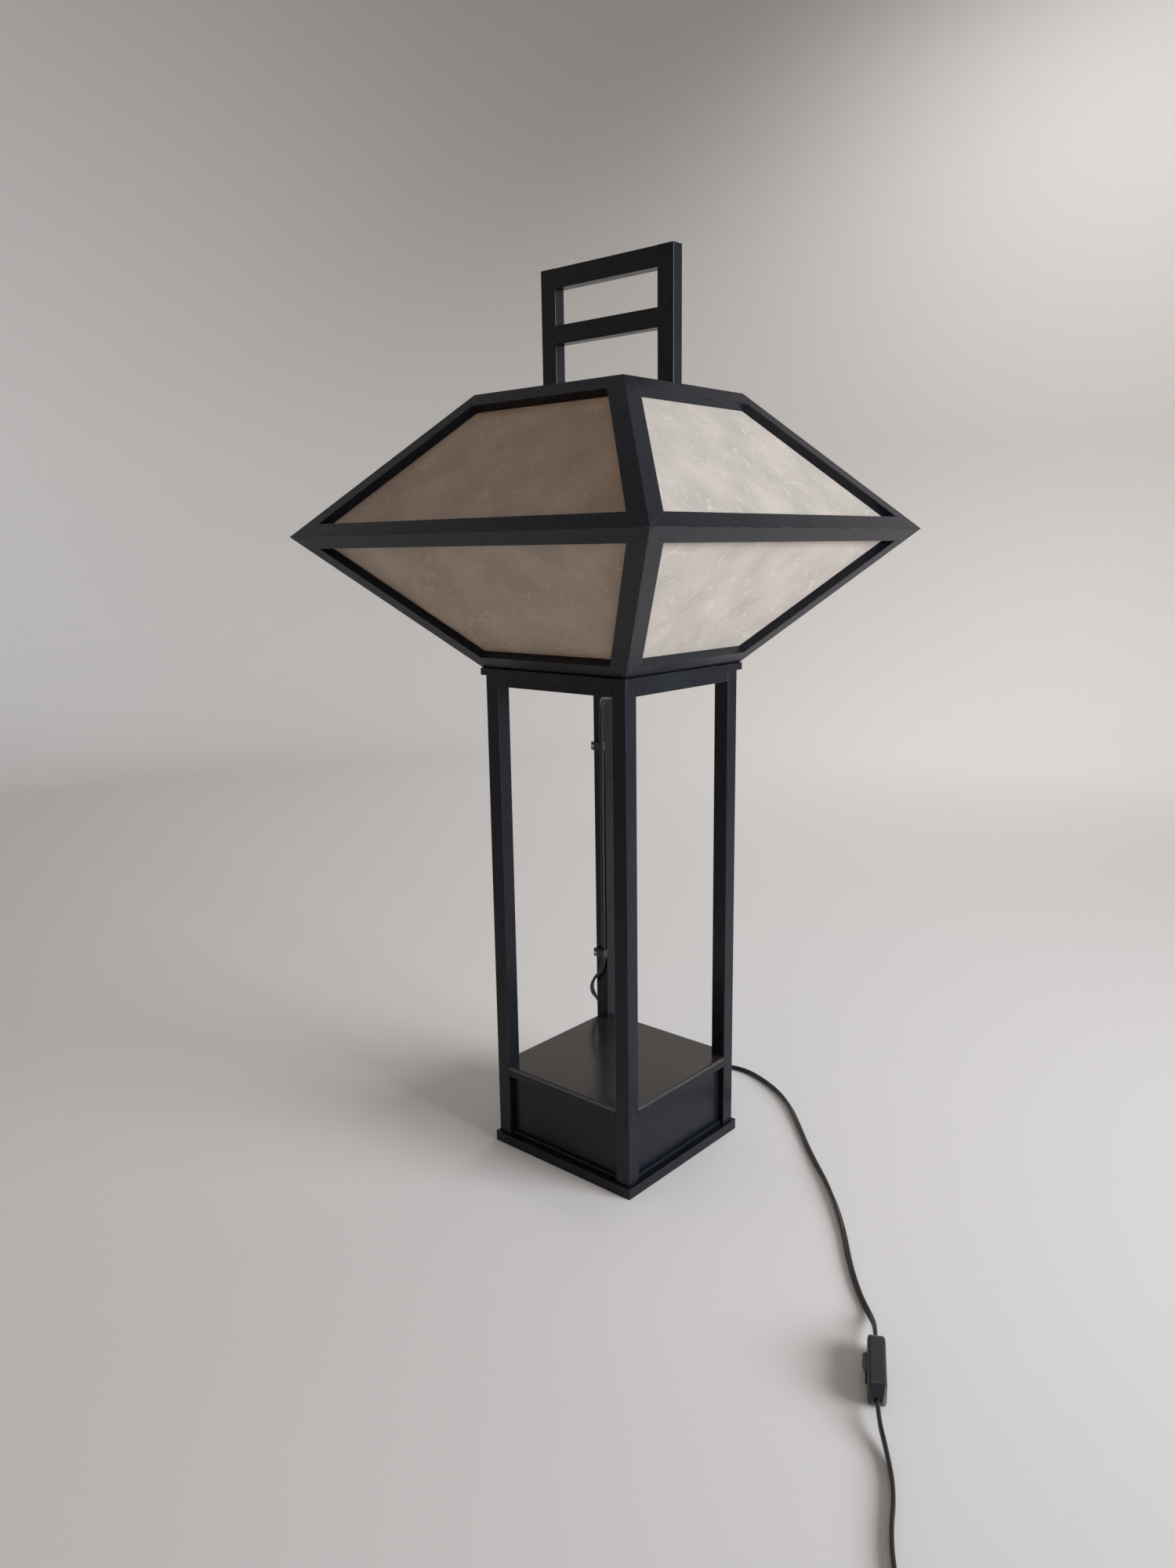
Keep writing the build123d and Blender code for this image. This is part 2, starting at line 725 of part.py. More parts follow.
def biarc(start, start_way, end, end_way):
    """Two arcs that leave the start and reach the end along the given ways: their joint and its tangent."""
    span = end - start
    both = start_way + end_way
    spread = 2 * (1 - start_way.dot(end_way))
    along = span.dot(both)
    if spread < 1e-6:
        arm = span.length / 2 if along == 0 else span.dot(span) / (2 * along)
    else:
        arm = (-along + math.sqrt(along**2 + spread * span.dot(span))) / spread
    joint = (start + end + (start_way - end_way) * arm) * 0.5
    return joint, (joint - start - start_way * arm).normalized()


quarter_turns = round(coil_turns * 4)
swept_angles = [2 * math.pi * coil_turns * i / quarter_turns for i in range(quarter_turns + 1)]
plug_axis = plug_thickness / 2 + cord_play
coil_knots = [(coil_point(angle), coil_tangent(angle)) for angle in swept_angles]
coil_knots[0] = (coil_knots[0][0], coil_run)
leave_way = Vector(coil_knots[-1][1].X, coil_knots[-1][1].Y, 0).normalized()
coil_knots[-1] = (coil_knots[-1][0], leave_way)
tail_end = coil_knots[-1][0] + leave_way * tail_length
tail_end = Vector(tail_end.X, tail_end.Y, plug_axis)
coil_knots.append((tail_end, leave_way))
plug_start = tail_end + leave_way * cord_diameter

with BuildPart() as cord_coil:
    with BuildLine() as coil_line:
        Line(coil_start, coil_knots[0][0])
        for (start, start_way), (end, end_way) in zip(coil_knots, coil_knots[1:]):
            joint, joint_way = biarc(start, start_way, end, end_way)
            TangentArc(start, joint, tangent=start_way)
            TangentArc(joint, end, tangent=joint_way)
        Line(tail_end, plug_start)
    with BuildSketch(Plane(coil_start, z_dir=coil_run)):
        Circle(cord_radius)
    sweep(path=coil_line.wires()[0])
coil_length = coil_line.wires()[0].length
coil_share = cord_coil.part.volume / (math.pi * cord_radius**2 * coil_length)

# Least room between turns, over points along the coil that are more than a bend apart
steps = 900
places = [coil_line.wires()[0].position_at(i / steps) for i in range(steps + 1)]
apart = round(6 * cord_diameter * steps / coil_length)
least_gap = min(
    (place - other).length - cord_diameter
    for i, place in enumerate(places)
    for other in places[i + apart :]
)
print("coil length", round(coil_length, 1), "volume share", round(coil_share, 4))
print("coil least gap", round(least_gap, 2))
print("coil middle diameters of cord", round(coil_middle_diameter / cord_diameter, 2))
print("free cord", round(laid_length + coil_length, 1), "wanted", cord_free_length)

# Tie round the coil's turns, on the side away from both ends of the cord
tie_angle = math.degrees(first_angle) + tie_turn
tie_plane = Plane(
    coil_centre,
    x_dir=Vector(1, 0, 0).rotate(Axis.Z, tie_angle),
    z_dir=Vector(0, -1, 0).rotate(Axis.Z, tie_angle),
)
coil_inner = coil_outer - coil_pitch * layer_turns
tie_reach = (coil_inner - cord_radius - tie_play, coil_outer + cord_radius + tie_play)
tie_levels = (-cord_radius - tie_play, coil_rise + cord_radius + tie_play)
tie_inside = (tie_reach[1] - tie_reach[0], tie_levels[1] - tie_levels[0])
with BuildPart() as coil_tie:
    with BuildSketch(tie_plane):
        with Locations((sum(tie_reach) / 2, sum(tie_levels) / 2)):
            Rectangle(tie_inside[0] + 2 * tie_thickness, tie_inside[1] + 2 * tie_thickness)
            Rectangle(*tie_inside, mode=Mode.SUBTRACT)
    extrude(amount=tie_width / 2, both=True)

# Switch: two shells with the rocker between them; the plane's Z points out of the rocker's face
half_depth = switch_depth / 2
screw_x = switch_length / 2 - switch_screw_inset[0]
screw_y = switch_width / 2 - switch_screw_inset[1]
screw_places = [(screw_x, screw_y), (-screw_x, -screw_y)]
pin_half = rocker_opening[1] / 2 + rocker_pin_bite
cavity_length = switch_length - 2 * (switch_end_length - switch_wall)
with BuildPart() as switch_screws:
    for place in screw_places:
        head = switch_plane.from_local_coords((place[0], place[1], -half_depth + switch_wall / 2))
        with BuildSketch(Plane(head, x_dir=switch_run, z_dir=rocker_way)):
            Circle(switch_screw)
        extrude(amount=-switch_wall / 4)
        with BuildSketch(Plane(head, x_dir=switch_run, z_dir=rocker_way)):
            Circle(switch_screw / 2)
        extrude(amount=switch_depth - 2 * switch_wall)

with BuildPart() as cord_ends:
    with BuildSketch(Plane(switch_near_end, z_dir=switch_run)):
        Circle(cord_radius + cord_play)
    extrude(amount=switch_length)


def switch_shell(way):
    """Half of the switch's housing, with sloped ends, beside its split: way 1 is the rocker's half."""
    shoulder = switch_length / 2 - switch_end_length
    beyond = switch_length / 2 + switch_end_length
    fall = switch_depth - switch_end_depth
    with BuildPart() as shell:
        with BuildSketch(switch_plane):
            SlotOverall(switch_length, switch_width)
        extrude(amount=way * half_depth)
        outer_face = shell.faces().sort_by(Axis(switch_centre, rocker_way * way))[-1]
        fillet(outer_face.edges(), radius=switch_round)
        with BuildSketch(Plane(switch_centre, x_dir=switch_run, z_dir=-switch_plane.y_dir)):
            for end in (-1, 1):
                Polygon(
                    (end * shoulder, way * half_depth),
                    (end * beyond, way * (half_depth - fall)),
                    (end * beyond, way * (half_depth + fall)),
                    align=None,
                )
        extrude(amount=switch_width / 2, both=True, mode=Mode.SUBTRACT)
        with BuildSketch(switch_plane):
            SlotOverall(cavity_length, switch_width - 2 * switch_wall)
            with Locations(*screw_places):
                Circle(switch_boss / 2, mode=Mode.SUBTRACT)
        extrude(amount=way * (half_depth - switch_wall), mode=Mode.SUBTRACT)
        add(cord_ends.part, mode=Mode.SUBTRACT)
        with BuildSketch(switch_plane.offset(-half_depth)):
            with Locations(*screw_places):
                Circle(switch_screw)
        extrude(amount=switch_wall / 2, mode=Mode.SUBTRACT)
        add(switch_screws.part, mode=Mode.SUBTRACT)
    return shell


switch_back_shell = switch_shell(-1)
plain_front_shell = switch_shell(1)

with BuildPart() as switch_rocker:
    rocker_pivot = switch_plane.from_local_coords((0, 0, rocker_pivot_height))
    rocker_side = Plane(rocker_pivot, x_dir=switch_run, z_dir=-switch_plane.y_dir)
    crown = half_depth + rocker_proud - rocker_pivot_height
    with BuildSketch(rocker_side.rotated((0, 0, rocker_tilt))):
        Circle(rocker_length / 2)
        Polygon(
            (-rocker_length, -rocker_skirt),
            (rocker_length, -rocker_skirt),
            (rocker_length, crown + rocker_length * math.tan(math.radians(rocker_tilt))),
            (0, crown - rocker_proud / 2),
            (-rocker_length, crown + rocker_length * math.tan(math.radians(rocker_tilt))),
            align=None,
            mode=Mode.INTERSECT,
        )
    extrude(amount=rocker_width / 2, both=True)
    with BuildSketch(rocker_side):
        Circle(rocker_pin / 2)
    extrude(amount=pin_half, both=True)

with BuildPart() as switch_front_shell:
    add(plain_front_shell.part)
    with BuildSketch(switch_plane.offset(half_depth - switch_wall)):
        with GridLocations(0, rocker_opening[1] + rocker_pin_bite, 1, 2):
            Rectangle(3 * rocker_pin, rocker_pin_bite)
    extrude(amount=-(half_depth - switch_wall - rocker_pivot_height + rocker_pin))
    with BuildSketch(switch_plane.offset(half_depth)):
        Rectangle(*rocker_opening)
    extrude(amount=-half_depth, mode=Mode.SUBTRACT)
    with BuildSketch(rocker_side):
        Circle(rocker_pin / 2 + rocker_pin_play)
    extrude(amount=pin_half + rocker_pin_play, both=True, mode=Mode.SUBTRACT)

with BuildPart() as switch_contacts:
    with BuildSketch(switch_plane.offset(-half_depth + switch_wall)):
        with GridLocations(switch_contact_size[0] + switch_boss, 0, 2, 1):
            Rectangle(switch_contact_size[0], switch_contact_size[1])
    extrude(amount=switch_contact_size[2])

# Plug: tapered strain relief, flat body and two round pins
plug_plane = Plane(plug_start, x_dir=leave_way.rotate(Axis.Z, 90), z_dir=leave_way)
with BuildPart() as plug_body:
    with BuildSketch(plug_plane):
        Circle(cord_radius + relief_wall)
    with BuildSketch(plug_plane.offset(relief_length)):
        Circle(relief_width / 2)
    loft()
    with BuildSketch(plug_plane.offset(relief_length)):
        RectangleRounded(plug_neck_width, plug_thickness, plug_round)
    with BuildSketch(plug_plane.offset(relief_length + plug_length)):
        RectangleRounded(plug_width, plug_thickness, plug_round)
    loft()
with BuildPart() as plug_pins:
    with BuildSketch(plug_plane.offset(relief_length + plug_length)):
        with GridLocations(pin_spacing, 0, 2, 1):
            Circle(pin_diameter / 2)
    extrude(amount=pin_length)
    fillet(plug_pins.faces().sort_by(Axis(plug_start, leave_way))[-2:].edges(), radius=pin_diameter / 4)

finished = {
    "base_board": base_board,
    "base_beads": base_beads,
    "shelf_rails": shelf_rails,
    "shelf_board": shelf_board,
    "stand_top_rails": stand_top_rails,
    "stand_top_board": stand_top_board,
    "stand_screws": stand_screws,
    "shade_cleats": shade_cleats,
    "shade_top_rails": shade_top_rails,
    "shade_upper_hips": shade_upper_hips,
    "shade_middle_rails": shade_middle_rails,
    "shade_lower_hips": shade_lower_hips,
    "shade_bottom_rails": shade_bottom_rails,
    "handle_screws": handle_screws,
    "lampholder_base": lampholder_base,
    "lampholder_shell": lampholder_shell,
    "lampholder_thread": lampholder_thread,
    "lampholder_contact": lampholder_contact,
    "lampholder_terminals": lampholder_terminals,
    "lampholder_screws": lampholder_screws,
    "bulb_glass": bulb_glass,
    "bulb_cap": bulb_cap,
    "bulb_insulator": bulb_insulator,
    "bulb_contact": bulb_contact,
    "riser_cable": riser_cable,
    "cable_clips": cable_clips,
    "clip_nails": clip_nails,
    "cord_to_switch": cord_to_switch,
    "cord_to_coil": cord_to_coil,
    "cord_coil": cord_coil,
    "coil_tie": coil_tie,
    "switch_front_shell": switch_front_shell,
    "switch_back_shell": switch_back_shell,
    "switch_rocker": switch_rocker,
    "switch_contacts": switch_contacts,
    "switch_screws": switch_screws,
    "plug_body": plug_body,
    "plug_pins": plug_pins,
}
for label, piece in finished.items():
    save(piece, label)
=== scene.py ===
import math

import bmesh
import bpy
from mathutils import Matrix, Vector


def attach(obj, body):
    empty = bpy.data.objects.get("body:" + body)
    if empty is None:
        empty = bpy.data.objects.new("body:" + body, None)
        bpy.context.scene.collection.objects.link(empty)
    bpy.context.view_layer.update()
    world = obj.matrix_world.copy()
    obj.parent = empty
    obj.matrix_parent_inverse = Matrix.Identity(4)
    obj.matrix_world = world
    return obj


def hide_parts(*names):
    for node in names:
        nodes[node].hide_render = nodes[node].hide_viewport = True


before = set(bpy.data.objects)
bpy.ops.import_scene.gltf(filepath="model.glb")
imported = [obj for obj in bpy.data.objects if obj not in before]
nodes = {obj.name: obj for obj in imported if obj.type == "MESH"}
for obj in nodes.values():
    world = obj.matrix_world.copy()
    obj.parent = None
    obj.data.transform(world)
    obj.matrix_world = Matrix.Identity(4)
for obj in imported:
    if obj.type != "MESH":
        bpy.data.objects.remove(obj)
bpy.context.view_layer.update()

# Paper table lamp: the looks of its painted sticks, fibre paper, flex and fittings.
# Sizes are in millimetres and become metres by the factor below; angles are in degrees.
mm = 0.001
scene = bpy.context.scene
sides = ("front", "right", "back", "left")
corners = ("front_left", "front_right", "back_right", "back_left")

# Camera, fitted to the lamp's own straight edges
picture_height_px = 2000
focal_length_px = 1454.2
sensor_size = 36.0
camera_place = (679.9, -814.0, 581.5)
camera_turn = 41.20
camera_dip = 11.68
camera_roll = -0.827

# Shade: widest at its middle, narrowing to a square mouth above and below
shade_middle = 595.0
shade_half_height = 120.0
shade_half_width = 203.5
mouth_half_width = 84.5

# Paint: brush marks along each stick, soft clouds in the film, and edges rubbed thin in patches.
# A rub shows where its patch noise lies in a range, on edges that turn from the face by the cosines given.
brush_mark = 0.9
brush_stretch = 40.0
brush_depth = 0.03
paint_cloud = 38.0
rub_patch = 14.0
rub_starts, rub_full = 0.50, 0.68
edge_round = 0.8
edge_starts, edge_full = 0.99, 0.80
worn_film = "#4b4947"
marks_low, marks_high = 0.7, 1.3

# Coats: one paint on sticks and panels, smoother on the panels; the shelf's has levelled out most, and its
# lighter, warmer film is a painted reflection of the pale wall
# The sticks' and panels' film is tinted cool blue: a painted reflection of bluish room light in the black
# paint
stick_coat = {"film": ("#0a0c13", "#13161e"), "roughness": 0.28, "shine": 0.25, "marked": 0.045}
panel_coat = {**stick_coat, "marked": 0.02}
shelf_coat_painted_reflection = {"film": ("#221f1d", "#2e2b29"), "roughness": 0.21, "shine": 1.0, "marked": 0.02}

# Paper: fibres drawn a little broader than the real 0.3 mm ones so that they show.
# The fleck sizes are shares of their spacing, from the edge of a fleck to its full colour.
fibre_layers = 7
fibre_curl = 17.0
fibre_variety = 0.2
fibre_length = 14.0
fibre_width = 0.7
fibre_core = 0.3
fibre_starts, fibre_full = 0.54, 0.66
fibre_weight = 0.7
fibre_relief = 0.1
paper_cloud = 42.0
fleck_spacing = 24.0
fleck_edge, fleck_full = 0.030, 0.015
light_through = 0.57

# Moulded parts: the size of the patches that handling has polished, and how much it changes their sheen
handling_patch = 12.0
handling_sheen = 0.06

# Noise patterns: their middle value, and the values between which most of them lies
noise_middle = 0.5
noise_low, noise_high = 0.35, 0.65

# Metal: marks drawn out round the axis, and how much smoother or rougher they are
drawn_stretch = 8.0
drawn_depth = 0.03
drawn_low, drawn_high = 0.3, 0.7
drawn_smoother, drawn_rougher = 0.05, 0.08

# Opal glass: how wide its faint flow marks are, and how far light spreads in it
glass_flow = 30.0
glass_depth = 3.0

# Flex: flat twin, two round cores side by side
core_radius = 1.45
core_offset = 0.95
core_points = 9
flex_width = 2 * (core_offset + core_radius)
floor_play = 0.25
line_steps = 8

# Where the flex leaves its clips on the back left post
riser_x = -71.5
riser_y = 66.5
riser_end = 152.0
stand_height = 475.0

# In-line switch, lying on its side
switch_middle = Vector((364.0, -151.0, 8.6))
switch_heading = -61.9
switch_length = 62.0
switch_lead = 15.0
cord_grip = 5.0
edge_on = 90.0

# Coil of the length that the picture doesn't show, and its plug
coil_start = Vector((480.0, -334.0, 0.0))
coil_heading = -53.0
coil_lead = 20.0
coil_turns = 5.22
coil_points_per_turn = 20
coil_middle_diameter = 46.26
coil_pitch = 5.1
coil_straight = 4.5
coil_layer_play = 0.25
tail_length = 34.0
tail_level_share = 0.4
tail_risen_share = 0.7
plug_axis_height = 6.95

# Tie round the coil: a strap that runs through its own head
tie_turn = 225.0
tie_width = 6.0
tie_thickness = 0.6
tie_play = 0.3
tie_round = 2.0
tie_corner_points = 6
tie_head = (9.0, 8.0, 4.2)
tie_head_round = 0.8
tie_slot_share = 0.6
tie_tail = 17.0

# Stage: a round floor that curves up into a wall
floor_radius = 2200.0
cove_radius = 900.0
cove_steps = 12
wall_top = 3400.0
stage_segments = 96

# Lamps: soft daylight from the right, a faint warm fill in front, and a wash on the floor and wall behind
lamp_target = (0.0, 0.0, 520.0)
key_colour = "#f3f7ff"
key_place = (2250.0, 480.0, 840.0)
key_size = (1700.0, 1100.0)
key_power = 25.2
key_spread = 80.0
fill_colour = "#ffb054"
fill_place = (200.0, -2400.0, 700.0)
fill_size = (1600.0, 1600.0)
fill_power = 1.5
fill_spread = 80.0
wash_colour = "#fdfcff"
wash_place = (-300.0, 2100.0, 2700.0)
wash_target = (-500.0, 2500.0, 0.0)
wash_size = (1100.0, 1100.0)
wash_power = 16.0
wash_spread = 110.0
surround_colour = "#eceef6"
surround_strength = 0.25


def make_camera():
    """Camera where the picture was taken from, looking over the lamp's front right corner."""
    turn = math.radians(camera_turn)
    dip = math.radians(camera_dip)
    roll = math.radians(camera_roll)
    ahead = Vector((-math.sin(turn) * math.cos(dip), math.cos(turn) * math.cos(dip), -math.sin(dip)))
    level = ahead.cross(Vector((0, 0, 1))).normalized()
    upward = level.cross(ahead)
    across = level * math.cos(roll) + upward * math.sin(roll)
    up = upward * math.cos(roll) - level * math.sin(roll)
    lens = bpy.data.cameras.new("camera")
    lens.sensor_width = sensor_size
    lens.lens = sensor_size * focal_length_px / picture_height_px
    camera = bpy.data.objects.new("camera", lens)
    axes = Matrix((across, up, -ahead)).transposed().to_4x4()
    camera.matrix_world = Matrix.Translation(Vector(camera_place) * mm) @ axes
    scene.collection.objects.link(camera)
    scene.camera = camera


def linear(colour):
    """An sRGB hex colour as linear red, green, blue and alpha."""
    parts = [int(colour[i : i + 2], 16) / 255 for i in (1, 3, 5)]
    parts = [part / 12.92 if part <= 0.04045 else ((part + 0.055) / 1.055) ** 2.4 for part in parts]
    return (*parts, 1.0)


def per_mm(size):
    """Pattern scale, in features per metre, for a feature of a size in millimetres."""
    return 1 / (size * mm)


def add(tree, kind, inputs=None, **settings):
    """Add a node with its settings. An input is a value, a hex colour, or the node or socket linked to it."""
    made = tree.nodes.new("ShaderNode" + kind)
    for name, value in settings.items():
        setattr(made, name, value)
    for socket, value in (inputs or {}).items():
        if isinstance(value, str):
            value = linear(value)
        if isinstance(value, bpy.types.Node):
            value = next(output for output in value.outputs if output.enabled)
        if isinstance(value, bpy.types.NodeSocket):
            tree.links.new(value, made.inputs[socket])
        else:
            made.inputs[socket].default_value = value
    return made


def new_material(name):
    """A material with an empty node tree."""
    material = bpy.data.materials.new(name)
    material.use_nodes = True
    material.node_tree.nodes.clear()
    return material, material.node_tree


def direction_along(tree, run):
    """Surface point turned so that its first part runs along the stick, in metres."""
    place = add(tree, "SeparateXYZ", {0: add(tree, "TexCoord").outputs["Object"]})
    x, y, z = place.outputs
    if run == "upright":
        return add(tree, "CombineXYZ", {0: z, 1: x, 2: y})
    if run == "level x":
        return add(tree, "CombineXYZ", {0: x, 1: y, 2: z})
    far_x = add(tree, "Math", {0: x}, operation="ABSOLUTE")
    far_y = add(tree, "Math", {0: y}, operation="ABSOLUTE")
    if run == "round the square":
        on_x_side = add(tree, "Math", {0: far_x, 1: far_y}, operation="GREATER_THAN")
        along_x = add(tree, "CombineXYZ", {0: x, 1: y, 2: z})
        along_y = add(tree, "CombineXYZ", {0: y, 1: x, 2: z})
        return add(tree, "Mix", {0: on_x_side, 4: along_x, 5: along_y}, data_type="VECTOR")
    # Up the shade's corners: the sticks run in from both sides at once as they leave the middle
    corner_run = 2 * (shade_half_width - mouth_half_width) / shade_half_height
    from_middle = add(tree, "Math", {0: z, 1: shade_middle * mm}, operation="SUBTRACT")
    rise = add(tree, "Math", {0: from_middle}, operation="ABSOLUTE")
    out = add(tree, "Math", {0: far_x, 1: far_y}, operation="ADD")
    side = add(tree, "Math", {0: far_x, 1: far_y}, operation="SUBTRACT")
    run_in = add(tree, "Math", {0: rise, 1: corner_run}, operation="MULTIPLY")
    depth = add(tree, "Math", {0: out, 1: run_in}, operation="ADD")
    return add(tree, "CombineXYZ", {0: run_in, 1: side, 2: depth})


def black_satin_paint(name, run, film, roughness, shine, marked):
    """Black satin paint brushed over planed softwood.

    It gives a deep black with a soft sheen, faint brush marks along each stick, and edges where handling has
    worn the film thin and grey. Its film colours carry painted light: a cool blue cast on the sticks and
    panels is a painted reflection of bluish room light, and the shelf's lighter, warmer film is a painted
    reflection of the pale wall.
    """
    material, tree = new_material(name)
    along = direction_along(tree, run)
    brushed = add(tree, "VectorMath", {0: along, 1: (1 / brush_stretch, 1, 1)}, operation="MULTIPLY")
    brush = add(tree, "TexNoise", {"Vector": brushed, "Scale": per_mm(brush_mark), "Detail": 3})
    cloud = add(tree, "TexNoise", {"Vector": along, "Scale": per_mm(paint_cloud), "Detail": 3})
    patch = add(tree, "TexNoise", {"Vector": along, "Scale": per_mm(rub_patch), "Detail": 4})
    edge = add(tree, "Bevel", {"Radius": edge_round * mm}, samples=6)
    face = add(tree, "NewGeometry")
    flat = add(tree, "VectorMath", {0: edge, 1: face.outputs["True Normal"]}, operation="DOT_PRODUCT")
    rounded = add(tree, "MapRange", {0: flat, 1: edge_starts, 2: edge_full})
    rubbed = add(tree, "MapRange", {0: patch, 1: rub_starts, 2: rub_full})
    wear = add(tree, "Math", {0: rounded, 1: rubbed}, operation="MULTIPLY")
    whole = add(tree, "Mix", {0: cloud, 6: film[0], 7: film[1]}, data_type="RGBA")
    colour = add(tree, "Mix", {0: wear, 6: whole, 7: worn_film}, data_type="RGBA")
    marks = add(tree, "Math", {0: brush, 1: cloud}, operation="ADD")
    smooth = roughness - marked / 2
    rough = roughness + marked / 2
    sheen = add(tree, "MapRange", {0: marks, 1: marks_low, 2: marks_high, 3: smooth, 4: rough})
    bump = add(
        tree,
        "Bump",
        {"Strength": marked, "Distance": brush_depth * mm, "Height": brush, "Normal": edge},
    )
    shader = add(
        tree,
        "BsdfPrincipled",
        {"Base Color": colour, "Roughness": sheen, "IOR": 1.5, "Specular IOR Level": shine, "Normal": bump},
    )
    add(tree, "OutputMaterial", {0: shader})
    return material


def fibre_paper(name, side, seed):
    """Unbleached mulberry paper, laid by hand and pasted behind the frame.

    It gives a cloudy off-white sheet with fine pale fibres that lie in all directions, a few brown
    flecks of bark, and a warm glow where light comes through it.
    """
    material, tree = new_material(name)
    place = add(tree, "TexCoord").outputs["Object"]
    parts = add(tree, "SeparateXYZ", {0: place})
    across = parts.outputs[0] if side in ("front", "back") else parts.outputs[1]
    slant = math.hypot(shade_half_height, shade_half_width - mouth_half_width) / shade_half_height
    up = add(tree, "Math", {0: parts.outputs[2], 1: slant}, operation="MULTIPLY")
    sheet_place = add(tree, "CombineXYZ", {0: across, 1: up, 2: seed})
    fibres = None
    # Each layer's fibres follow the middle contour of a soft noise, and show only along some stretches of it
    for layer in range(fibre_layers):
        curl = fibre_curl * (1 + fibre_variety * layer)
        course = {"Vector": sheet_place, "W": layer, "Scale": per_mm(curl), "Detail": 0.5}
        course = add(tree, "TexNoise", course, noise_dimensions="4D")
        aside = add(tree, "Math", {0: course, 1: noise_middle}, operation="SUBTRACT")
        aside = add(tree, "Math", {0: aside}, operation="ABSOLUTE")
        edge = fibre_width / 2 / curl
        line = add(tree, "MapRange", {0: aside, 1: edge, 2: fibre_core * edge})
        stretch = {"Vector": sheet_place, "W": layer + 0.5, "Scale": per_mm(fibre_length), "Detail": 1}
        stretch = add(tree, "TexNoise", stretch, noise_dimensions="4D")
        shown = add(tree, "MapRange", {0: stretch, 1: fibre_starts, 2: fibre_full})
        strand = add(tree, "Math", {0: line, 1: shown}, operation="MULTIPLY")
        fibres = strand if fibres is None else add(tree, "Math", {0: fibres, 1: strand}, operation="MAXIMUM")
    cloud = add(tree, "TexNoise", {"Vector": sheet_place, "Scale": per_mm(paper_cloud), "Detail": 4})
    cloud = add(tree, "MapRange", {0: cloud, 1: noise_low, 2: noise_high})
    fleck = add(tree, "TexVoronoi", {"Vector": sheet_place, "Scale": per_mm(fleck_spacing)})
    fleck = add(tree, "MapRange", {0: fleck.outputs["Distance"], 1: fleck_edge, 2: fleck_full})
    strands = add(tree, "Math", {0: fibres, 1: fibre_weight}, operation="MULTIPLY")
    sheet = add(tree, "Mix", {0: cloud, 6: "#d7d5ce", 7: "#e6e5de"}, data_type="RGBA")
    sheet = add(tree, "Mix", {0: strands, 6: sheet, 7: "#f4f2ed"}, data_type="RGBA")
    sheet = add(tree, "Mix", {0: fleck, 6: sheet, 7: "#a08a6e"}, data_type="RGBA")
    bump = add(tree, "Bump", {"Strength": 0.3, "Distance": fibre_relief * mm, "Height": fibres})
    paper = add(tree, "BsdfPrincipled", {"Base Color": sheet, "Roughness": 0.7, "IOR": 1.45, "Normal": bump})
    glow = add(tree, "Mix", {0: 1.0, 6: sheet, 7: "#efd3a0"}, data_type="RGBA", blend_type="MULTIPLY")
    through = add(tree, "BsdfTranslucent", {"Color": glow, "Normal": bump})
    shader = add(tree, "MixShader", {0: light_through, 1: paper, 2: through})
    add(tree, "OutputMaterial", {0: shader})
    return material


def moulded(name, colours, roughness, grit, depth):
    """Moulded plastic or drawn sheath: a fine even grit from the mould or the die, polished by handling."""
    material, tree = new_material(name)
    place = add(tree, "TexCoord").outputs["Object"]
    texture = add(tree, "TexNoise", {"Vector": place, "Scale": per_mm(grit), "Detail": 2})
    handled = add(tree, "TexNoise", {"Vector": place, "Scale": per_mm(handling_patch), "Detail": 2})
    colour = add(tree, "Mix", {0: handled, 6: colours[0], 7: colours[1]}, data_type="RGBA")
    smooth = roughness - handling_sheen
    rough = roughness + handling_sheen
    sheen = add(tree, "MapRange", {0: handled, 1: noise_low, 2: noise_high, 3: smooth, 4: rough})
    bump = add(tree, "Bump", {"Strength": 0.3, "Distance": depth * mm, "Height": texture})
    shader = add(
        tree,
        "BsdfPrincipled",
        {"Base Color": colour, "Roughness": sheen, "IOR": 1.5, "Normal": bump},
    )
    add(tree, "OutputMaterial", {0: shader})
    return material


def worked_metal(name, colours, roughness, mark):
    """Bare metal: a clear lustre broken by fine drawing or rolling marks round its axis."""
    material, tree = new_material(name)
    place = add(tree, "TexCoord").outputs["Object"]
    drawn = add(tree, "VectorMath", {0: place, 1: (1, 1, drawn_stretch)}, operation="MULTIPLY")
    marks = add(tree, "TexNoise", {"Vector": drawn, "Scale": per_mm(mark), "Detail": 2})
    colour = add(tree, "Mix", {0: marks, 6: colours[0], 7: colours[1]}, data_type="RGBA")
    smooth = roughness - drawn_smoother
    rough = roughness + drawn_rougher
    sheen = add(tree, "MapRange", {0: marks, 1: drawn_low, 2: drawn_high, 3: smooth, 4: rough})
    bump = add(tree, "Bump", {"Strength": 0.2, "Distance": drawn_depth * mm, "Height": marks})
    shader = add(
        tree,
        "BsdfPrincipled",
        {"Base Color": colour, "Metallic": 1.0, "Roughness": sheen, "Normal": bump},
    )
    add(tree, "OutputMaterial", {0: shader})
    return material


def opal_glass(name):
    """Blown opal glass: a smooth, glossy milk white that lets light through softly."""
    material, tree = new_material(name)
    place = add(tree, "TexCoord").outputs["Object"]
    flow = add(tree, "TexNoise", {"Vector": place, "Scale": per_mm(glass_flow), "Detail": 1})
    colour = add(tree, "Mix", {0: flow, 6: "#efede6", 7: "#f6f4ef"}, data_type="RGBA")
    shader = add(
        tree,
        "BsdfPrincipled",
        {
            "Base Color": colour,
            "Roughness": 0.12,
            "IOR": 1.5,
            "Subsurface Weight": 0.6,
            "Subsurface Radius": (glass_depth * mm,) * 3,
            "Subsurface Scale": 1.0,
        },
    )
    add(tree, "OutputMaterial", {0: shader})
    return material


